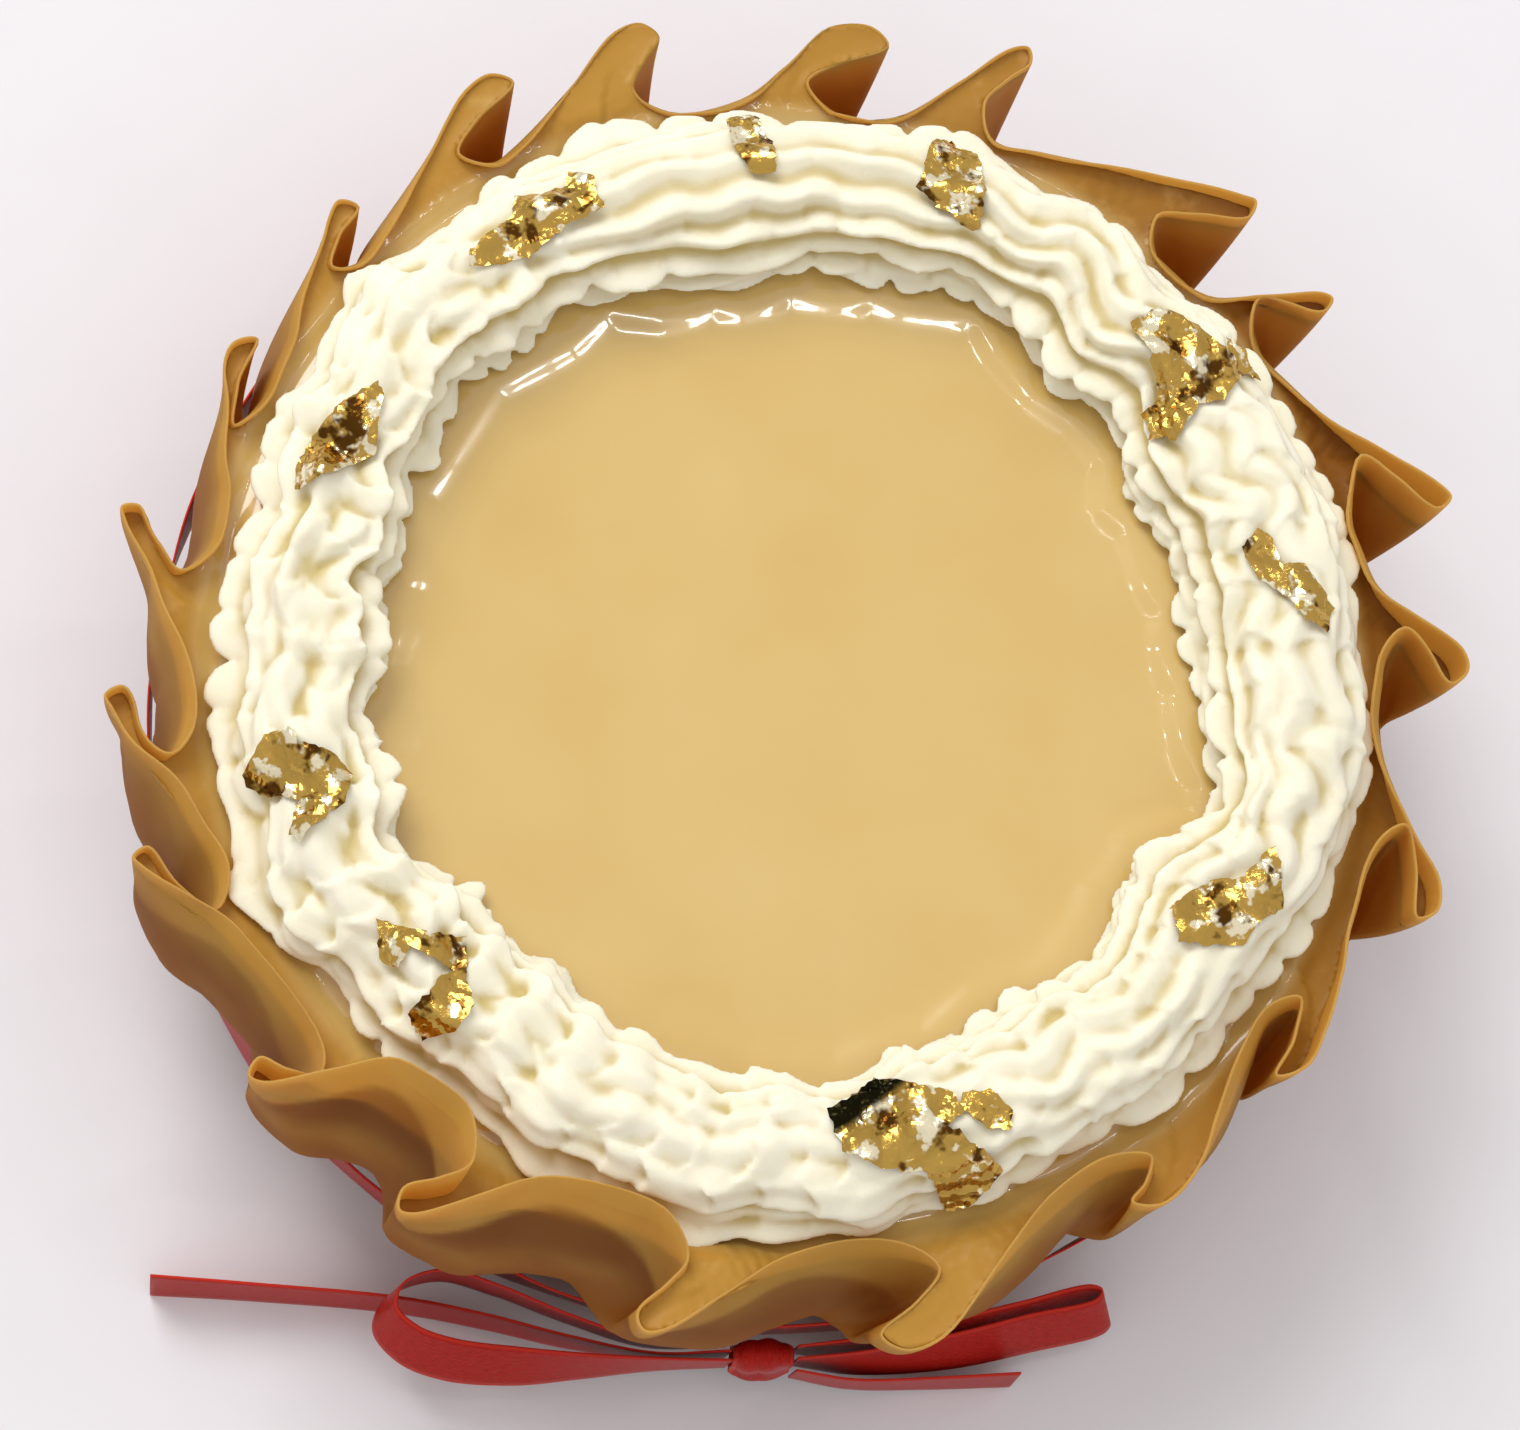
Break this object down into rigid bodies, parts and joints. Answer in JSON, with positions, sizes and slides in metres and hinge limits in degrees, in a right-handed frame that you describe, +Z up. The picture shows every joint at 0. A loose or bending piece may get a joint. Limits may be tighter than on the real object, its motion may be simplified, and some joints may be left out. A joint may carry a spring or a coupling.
{
  "type": "basque cheesecake",
  "caption": "Tall round baked cheesecake with a poured caramel top and a piped cream ring with gold leaf, in its brown baking paper blown into folds and tied with a red satin ribbon and bow.",
  "frame": {"origin": "middle of the flat underside of the baking paper, on the surface the cake stands on", "axes": "+Z up out of the caramel top, -Y towards the bow at the front, +X to the right seen from the bow"},
  "size_m": [0.2019, 0.2038, 0.072],
  "materials": {
    "cheesecake": "baked soft cheese, matt and slightly moist",
    "caramel": "poured pale caramel glaze, glossy",
    "cream": "piped whipped cream, soft sheen",
    "baking_paper": "brown silicone baking paper, waxy from butter",
    "ribbon": "dark red satin ribbon",
    "gold_leaf": "crumpled edible gold leaf, bright"
  },
  "bodies": {
    "root": {"baking_paper": "baking_paper", "cheesecake": "cheesecake", "caramel_top": "caramel", "cream_border": "cream", "gold_leaf_1": "gold_leaf", "gold_leaf_2": "gold_leaf", "gold_leaf_3": "gold_leaf", "gold_leaf_4": "gold_leaf", "gold_leaf_5": "gold_leaf", "gold_leaf_6": "gold_leaf", "gold_leaf_7": "gold_leaf", "gold_leaf_8": "gold_leaf", "gold_leaf_9": "gold_leaf", "gold_leaf_10": "gold_leaf", "ribbon_band": "ribbon", "bow_loop_left": "ribbon", "bow_tail_left": "ribbon", "bow_loop_right": "ribbon", "bow_tail_right": "ribbon", "ribbon_knot": "ribbon"}
  },
  "joints": []
}
